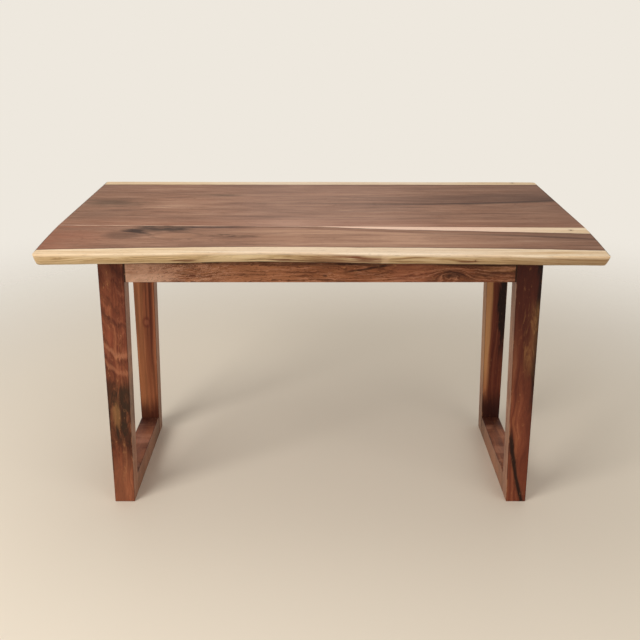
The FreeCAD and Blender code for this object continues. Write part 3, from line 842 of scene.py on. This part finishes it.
def board_section(x, side, arris, under):
    """A board's outline across the grain at one place along it.

    It runs from the glue line over the top, down the live edge and back underneath.
    """
    joint = glue_line(x)
    waves = noise.noise(Vector((x * 9, side * 3, 0))) * EDGE_WAVES
    nicks = noise.noise(Vector((x * 37, side * 5, 2))) * EDGE_NICKS
    rough = waves + nicks
    top_recess = corner_recess(x, TOP_CORNER_RADIUS)
    foot_recess = corner_recess(x, LEFT_FOOT_RADIUS if x < 0 else RIGHT_FOOT_RADIUS)
    top = Vector((arris(x) - side * (top_recess + abs(rough) * 0.5), ARRIS_LEVEL))
    foot = Vector((under(x) - side * (foot_recess * 1.3 - rough * 2), UNDERSIDE))
    lean = (top - foot).normalized()
    corner = top + lean * ((TABLE_TOP - ARRIS_LEVEL) / lean.y)
    face_top = corner - lean * FACE_ROUNDING
    face_foot = foot + lean * FOOT_ROUNDING
    inner = Vector((corner.x - side * TOP_ROUNDING, TABLE_TOP))
    rows = [Vector((joint, UNDERSIDE)), Vector((joint, TABLE_TOP))]
    rows += [rows[1].lerp(inner, share) for share in (0.25, 0.5, 0.75, 0.92)]
    rows += bend(inner, corner, face_top, 7)
    for share in np.linspace(0, 1, 8)[1:-1]:
        hump = math.sin(math.pi * share)
        dent = noise.noise(Vector((x * 14, share * 1.7, side * 4 + 9))) * EDGE_DENTS * hump
        point = face_top.lerp(face_foot, share)
        rows.append(point + Vector((side * (EDGE_SWELL * hump + dent), 0)))
    rows += bend(face_foot, foot, foot - Vector((side * FOOT_ROUNDING, 0)), 4)
    channel_end = side * CHANNEL_END
    for place in (side * UNDERSIDE_ROW, channel_end, (channel_end + joint) / 2, joint):
        rows.append(Vector((place, UNDERSIDE)))
    return rows


def stations():
    """The places along a board where its outline is drawn, closer together at its ends."""
    places = [-HALF_LENGTH + step for step in (0.0, 0.0006, 0.002, 0.004, 0.007, 0.011, 0.016)]
    places += [0.01 * step for step in range(-79, 0)]
    return places + [0.0] + [-place for place in reversed(places)]


def on_glue_line(edge):
    """Whether an edge of a board's end stands upright on the glue line, where the board stays sharp."""
    first, second = [vertex.co for vertex in edge.verts]
    return abs(first.y - second.y) <= TOUCH and abs(first.y - glue_line(first.x)) <= GLUE_LINE_ZONE


def board_piece(name, node, side, sweep):
    """A board with a worn live edge, eased ends and the grooves of the channels underneath."""
    arris = live_line(node, ARRIS_LEVEL, side, HALF_LENGTH - sweep)
    under = live_line(node, UNDERSIDE, side, HALF_LENGTH - sweep)
    places = stations()
    sections = [board_section(x, side, arris, under) for x in places]
    columns, rows = len(places), len(sections[0])
    bm = bmesh.new()
    made = bmesh.ops.create_grid(bm, x_segments=columns - 1, y_segments=rows - 1, size=1.0)
    for vertex in made["verts"]:
        column = round((vertex.co.x + 1) / 2 * (columns - 1))
        row = round((vertex.co.y + 1) / 2 * (rows - 1))
        x = places[column]
        point = sections[column][row]
        across = held((point.x - glue_line(x)) / (side * SWEEP_DEPTH - glue_line(x)), 0, 1)
        towards_end = held((abs(x) - SWEEP_START) / (HALF_LENGTH - SWEEP_START), 0, 1)
        drawn = sweep * (across - 4 * END_BOW * across * (1 - across)) * towards_end**2
        vertex.co = Vector((x - math.copysign(drawn, x), point.x, point.y))
    bmesh.ops.remove_doubles(bm, verts=bm.verts, dist=WELD)
    caps = bmesh.ops.holes_fill(bm, edges=[e for e in bm.edges if e.is_boundary], sides=0)["faces"]
    bmesh.ops.recalc_face_normals(bm, faces=bm.faces)
    rim = [edge for cap in caps for edge in cap.edges if not on_glue_line(edge)]
    round_edges(bm, rim, END_EASING)
    for vertex in bm.verts:
        vertex.co.y = held(vertex.co.y, -HALF_DEPTH, HALF_DEPTH)
        vertex.co.z = held(vertex.co.z, UNDERSIDE, TABLE_TOP)
    cut_channel_grooves(bm)
    return finished_piece(name, bm)


def cut_channel_grooves(bm):
    """Sinks the grooves for the two steel channels into the underside."""
    inner, outer = CHANNEL_SIDES
    floor = []
    for face in bm.faces:
        centre = face.calc_center_median()
        if face.normal.z < -0.99 and inner < abs(centre.x) < outer and abs(centre.y) < CHANNEL_END:
            floor.append(face)
    raised = bmesh.ops.extrude_face_region(bm, geom=floor)["geom"]
    lifted = [v for v in raised if isinstance(v, bmesh.types.BMVert)]
    bmesh.ops.translate(bm, verts=lifted, vec=Vector((0, 0, CHANNEL_TOP - UNDERSIDE)))


rear_board_wood = board_finish(
    "rear_board_wood",
    seed=2.0,
    pith=(0.12, 0.79),
    knots=[((-0.35, 0.33), (0.12, 0.03), 0.006)],
    pins=[((0.727, 0.455, TABLE_TOP), 0.005)],
    sap_reach=rear_sap,
    features=rear_features,
    edge_features=None,
)
front_board_wood = board_finish(
    "front_board_wood",
    seed=11.0,
    pith=(-0.30, 0.83),
    knots=[((-0.50, -0.235), (0.10, 0.035), 0.05), ((-0.25, -0.275), (0.07, 0.018), 0.018)],
    pins=[
        ((0.761, -0.210, TABLE_TOP), 0.0045),
        ((0.43, -0.452, 0.892), 0.004),
        ((0.798, -0.471, 0.905), 0.0035),
    ],
    sap_reach=front_sap,
    features=front_features,
    edge_features=front_edge_features,
)
rear_board = board_piece("rear_board_live_edge", "rear_board", side=1, sweep=0.0)
place_piece(rear_board, rear_board_wood, "top_wood", "rear_board")
front_board = board_piece("front_board_live_edge", "front_board", side=-1, sweep=END_SWEEP)
place_piece(front_board, front_board_wood, "top_wood", "front_board")


# Pieces of the leg frames


def is_arris(edge, shortest):
    """Whether an edge is an outer corner that is long enough to be eased."""
    if not edge.is_manifold or not edge.is_convex:
        return False
    return edge.calc_face_angle() > ARRIS_ANGLE and edge.calc_length() > shortest


def eased_copy(node, name, shortest):
    """A copy of a CAD node with its outer arrises rounded over, and the rounding marked for worn edges and
    painted highlights.
    """
    bm = bmesh.new()
    bm.from_mesh(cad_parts[node].data)
    bmesh.ops.remove_doubles(bm, verts=bm.verts, dist=WELD)
    bmesh.ops.dissolve_limit(bm, angle_limit=FLAT_ANGLE, verts=bm.verts, edges=bm.edges)
    arrises = [edge for edge in bm.edges if is_arris(edge, shortest)]
    soft = set(round_edges(bm, arrises, ARRIS_RADIUS))
    arris_wear_and_highlight = bm.loops.layers.float_color.new("arris_wear_and_highlight")
    for face in bm.faces:
        share = 1.0 if face in soft else 0.0
        for loop in face.loops:
            loop[arris_wear_and_highlight] = (share, share, share, 1.0)
    bmesh.ops.triangulate(bm, faces=[f for f in bm.faces if len(f.verts) > 4])
    return finished_piece(name, bm)


# The axis of each member's grain, its seed, how wild its figure is, and its own marks
MEMBERS = {
    "front_left_leg": (Z_AXIS, 1.0, 0.4, front_left_leg_features),
    "front_right_leg": (Z_AXIS, 4.0, 0.22, front_right_leg_features),
    "rear_left_leg": (Z_AXIS, 6.0, 0.05, rear_left_leg_features),
    "rear_right_leg": (Z_AXIS, 9.0, 0.1, rear_right_leg_features),
    "left_floor_rail": (Y_AXIS, 2.0, 0.3, floor_rail_features),
    "right_floor_rail": (Y_AXIS, 3.0, 0.3, floor_rail_features),
    "left_top_rail": (Y_AXIS, 5.0, 0.2, None),
    "right_top_rail": (Y_AXIS, 7.0, 0.2, None),
    "front_apron": (X_AXIS, 8.0, 0.7, front_apron_features),
    "rear_apron": (X_AXIS, 10.0, 0.4, None),
    "centre_bearer": (Y_AXIS, 12.0, 0.2, None),
    "front_left_cleat": (Z_AXIS, 13.0, 0.2, None),
    "front_right_cleat": (Z_AXIS, 14.0, 0.2, None),
    "rear_left_cleat": (Z_AXIS, 15.0, 0.2, None),
    "rear_right_cleat": (Z_AXIS, 16.0, 0.2, None),
}
for node, (grain, seed, wild, features) in MEMBERS.items():
    eased = eased_copy(node, node + "_eased", CLEAT_SHORTEST if "cleat" in node else MEMBER_SHORTEST)
    place_piece(eased, frame_finish(node, grain, seed, wild, features), "base_wood", node)


# Bolts and screws


def separate_shapes(node):
    """The lowest and highest corners of each separate shape of a CAD node."""
    bm = bmesh.new()
    bm.from_mesh(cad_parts[node].data)
    bmesh.ops.remove_doubles(bm, verts=bm.verts, dist=WELD)
    waiting = set(bm.verts)
    corners = []
    while waiting:
        shape = [waiting.pop()]
        for vertex in shape:
            for edge in vertex.link_edges:
                other = edge.other_vert(vertex)
                if other in waiting:
                    waiting.discard(other)
                    shape.append(other)
        places = np.array([v.co for v in shape])
        corners.append((tuple(places.min(axis=0)), tuple(places.max(axis=0))))
    bm.free()
    return sorted(corners)


def turned(bm, profile, steps=48):
    """Turns a profile of (radius, height) pairs round Z."""
    points = [bm.verts.new((radius, 0, height)) for radius, height in profile]
    lines = [bm.edges.new(pair) for pair in zip(points, points[1:])]
    bmesh.ops.spin(
        bm,
        geom=points + lines,
        axis=(0, 0, 1),
        cent=(0, 0, 0),
        steps=steps,
        angle=math.tau,
        use_merge=True,
    )
    bmesh.ops.remove_doubles(bm, verts=bm.verts, dist=WELD)


def hexagon_head(bm, width, height):
    """A bolt head with six flats and a chamfered face at height 0."""
    corner = width / 2 / math.cos(math.pi / 6)
    face = width * 0.47
    lower, upper = height * 0.16, height * 0.94
    turned(bm, [(0, 0), (face, 0), (corner, lower), (corner, upper), (face, height), (0, height)], 96)
    for turn in range(6):
        angle = math.radians(30 + 60 * turn)
        outwards = Vector((math.cos(angle), math.sin(angle), 0))
        bmesh.ops.bisect_plane(
            bm,
            geom=bm.verts[:] + bm.edges[:] + bm.faces[:],
            plane_co=outwards * width / 2,
            plane_no=outwards,
            clear_outer=True,
        )
        bmesh.ops.holes_fill(bm, edges=[e for e in bm.edges if e.is_boundary], sides=0)


def hexagon_socket(angle):
    """How far the wall of a hexagonal socket is at an angle, as a share of its greatest reach."""
    return math.cos(math.pi / 6) / math.cos(angle % (math.pi / 3) - math.pi / 6)


def cross_recess(angle):
    """The same for a cross-shaped recess."""
    from_arm = abs((angle + math.pi / 4) % (math.pi / 2) - math.pi / 4)
    return 1.0 if from_arm < math.radians(16) else 0.42


def round_head(bm, width, height, reach, outline):
    """A domed head with its face at height 0 and a driver's recess in the middle."""
    radius = width / 2
    deep = height * 0.6
    recess = [(0, deep), (reach * 0.8, deep), (reach, height * 0.12), (reach, 0.0002)]
    dome = []
    for share in (0.12, 0.35, 0.55, 0.75, 0.9, 0.98):
        dome.append((reach + (radius - reach) * share, height * 0.72 * share**2.2 + 0.0001))
    side = [(radius, height * 0.8), (radius, height * 0.95), (radius * 0.96, height), (0, height)]
    turned(bm, recess + dome + side)
    for vertex in bm.verts:
        away = math.hypot(vertex.co.x, vertex.co.y)
        if TOUCH < away < reach + TOUCH and vertex.co.z < deep + TOUCH:
            share = outline(math.atan2(vertex.co.y, vertex.co.x))
            vertex.co.x *= share
            vertex.co.y *= share


def unit(axis):
    """The direction of an axis."""
    return Vector([1.0 if other == axis else 0.0 for other in range(3)])


def fastener_piece(node, along, corner_way, width, height, shank, reach=None, outline=None):
    """Bolts or screws with shaped heads in the places of a CAD node's, pointing outwards or up."""
    single = bmesh.new()
    if outline:
        round_head(single, width, height, reach, outline)
    else:
        hexagon_head(single, width, height)
    shapes = separate_shapes(node)
    length = shapes[0][1][along] - shapes[0][0][along]
    neck = height * 0.9
    tip = shank * 0.55
    turned(single, [(0, neck), (shank, neck), (shank, length - shank), (tip, length), (0, length)], 32)
    bmesh.ops.recalc_face_normals(single, faces=single.faces)
    template = bpy.data.meshes.new(node + "_template")
    single.to_mesh(template)
    single.free()
    bm = bmesh.new()
    for low, high in shapes:
        middle = (Vector(low) + Vector(high)) / 2
        way = unit(along)
        if along != Z_AXIS:
            way *= math.copysign(1, middle[along])
        corner = unit(corner_way)
        placing = Matrix((corner, way.cross(corner), way)).transposed().to_4x4()
        placing.translation = middle - way * length / 2
        before = len(bm.verts)
        bm.from_mesh(template)
        bmesh.ops.transform(bm, matrix=placing, verts=bm.verts[before:] if before else bm.verts[:])
    bpy.data.meshes.remove(template)
    piece = finished_piece(node + "_shaped", bm)
    place_piece(piece, steel, "fastener_steel", node)


# Steel, brass and paint


def metal_finish(name, colour, shade, roughness, metallic):
    """A metal or painted surface with faint mottling and fine scratches."""
    finish = Finish(name)
    x, y, z = finish.axes()
    mottle = finish.noise(x * 90, y * 90, z * 90, detail=4.0)
    scratch = finish.noise(x * 1500, y * 300, z * 900, detail=2.0)
    finish.paint(finish.blend(mottle.rise(0.35, 0.7), colour, shade))
    finish.shader.inputs["Metallic"].default_value = metallic
    finish.sheen_of(roughness + mottle * 0.12 + scratch * 0.06)
    finish.relief(mottle * 0.4 + scratch * 0.3, 0.0001)
    return finish.material


steel = metal_finish("zinc_plated_steel", (168, 168, 170), (140, 141, 146), 0.28, 1.0)
paint = metal_finish("black_powder_coat", (46, 46, 48), (60, 60, 63), 0.5, 0.0)
brass = metal_finish("machined_brass", (196, 158, 92), (168, 130, 70), 0.25, 1.0)
dowel_wood = metal_finish("turned_dowel_wood", (214, 184, 140), (196, 160, 112), 0.55, 0.0)
NODE_FINISHES = {
    "board_dowels": dowel_wood,
    "apron_dowels": dowel_wood,
    "left_channel": paint,
    "right_channel": paint,
    "board_inserts": brass,
    "leg_inserts": brass,
    "corner_washers": steel,
    "top_screw_washers": steel,
    "apron_clips": steel,
}
for node, material in NODE_FINISHES.items():
    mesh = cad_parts[node].data
    mesh.materials.clear()
    mesh.materials.append(material)

# The way each fastener points, the way a corner of its head points, the width and height
# of the head, the radius of the shank, and the reach and outline of the driver's recess
FASTENERS = {
    "corner_bolts": (X_AXIS, Z_AXIS, 0.013, 0.0055, 0.004),
    "top_screws": (Z_AXIS, X_AXIS, 0.011, 0.0045, 0.003),
    "channel_bolts": (Z_AXIS, X_AXIS, 0.012, 0.0033, 0.003, 0.0022, hexagon_socket),
    "cleat_screws": (Y_AXIS, X_AXIS, 0.0095, 0.0035, 0.0025, 0.0026, cross_recess),
    "clip_screws": (Z_AXIS, X_AXIS, 0.009, 0.0025, 0.00225, 0.0024, cross_recess),
}
for node, sizes in FASTENERS.items():
    fastener_piece(node, *sizes)


# Floor, light and camera


def floor_finish():
    """Plain pale floor that fades into the backdrop away from the table."""
    finish = Finish("pale_floor", roughness=0.6)
    x, y = finish.axes()[:2]
    away = (x**2 + y**2) ** 0.5
    finish.shader.inputs["Base Color"].default_value = screen(230, 219, 202)
    finish.feed(finish.shader.inputs["Alpha"], away.fall(1.0, 3.6))
    return finish.material


def make_floor():
    bm = bmesh.new()
    bmesh.ops.create_circle(bm, cap_ends=True, segments=96, radius=FLOOR_RADIUS)
    floor = finished_piece("floor", bm)
    floor.data.materials.append(floor_finish())


def lamp(name, place, target, size, power, colour):
    """A soft square lamp turned towards a point."""
    data = bpy.data.lights.new(name, "AREA")
    data.shape = "SQUARE"
    data.size = size
    data.energy = power
    data.color = colour
    light = bpy.data.objects.new(name, data)
    light.location = place
    light.rotation_euler = (Vector(target) - Vector(place)).to_track_quat("-Z", "Y").to_euler()
    bpy.context.scene.collection.objects.link(light)


def make_world():
    """Even light from all round, with a pale backdrop wherever the camera or a gloss sees past the floor."""
    world = bpy.data.worlds.new("studio")
    world.use_nodes = True
    nodes, links = world.node_tree.nodes, world.node_tree.links
    light = nodes["Background"]
    light.inputs["Color"].default_value = screen(246, 242, 236)
    light.inputs["Strength"].default_value = AMBIENT_STRENGTH
    backdrop = nodes.new("ShaderNodeBackground")
    backdrop.inputs["Color"].default_value = screen(238, 232, 222)
    rays = nodes.new("ShaderNodeLightPath")
    seen = nodes.new("ShaderNodeMath")
    seen.operation = "MAXIMUM"
    links.new(rays.outputs["Is Camera Ray"], seen.inputs[0])
    links.new(rays.outputs["Is Glossy Ray"], seen.inputs[1])
    mixed = nodes.new("ShaderNodeMixShader")
    links.new(seen.outputs[0], mixed.inputs["Fac"])
    links.new(light.outputs[0], mixed.inputs[1])
    links.new(backdrop.outputs[0], mixed.inputs[2])
    links.new(mixed.outputs[0], nodes["World Output"].inputs["Surface"])
    bpy.context.scene.world = world


def make_camera():
    data = bpy.data.cameras.new("camera")
    data.lens = LENS
    data.sensor_width = SENSOR_WIDTH
    data.shift_x, data.shift_y = LENS_SHIFT
    camera = bpy.data.objects.new("camera", data)
    camera.location = CAMERA_PLACE
    camera.rotation_euler = (math.radians(90 - CAMERA_DIP), 0, 0)
    bpy.context.scene.collection.objects.link(camera)
    bpy.context.scene.camera = camera


# Place, target, size, power and colour of each lamp
LAMPS = {
    "window": ((-2.6, -2.6, 2.7), (-0.1, 0, 0.5), 2.0, 100, (1.0, 0.975, 0.94)),
    "fill": ((2.6, -3.0, 1.8), (0, 0, 0.5), 2.6, 30, (1.0, 0.98, 0.96)),
    "overhead": ((-0.3, 0.1, 2.9), (-0.1, 0, 0.8), 1.6, 10, (1.0, 0.98, 0.96)),
}
make_floor()
make_world()
for name, setting in LAMPS.items():
    lamp(name, *setting)
make_camera()
bpy.context.scene.view_settings.view_transform = "Standard"
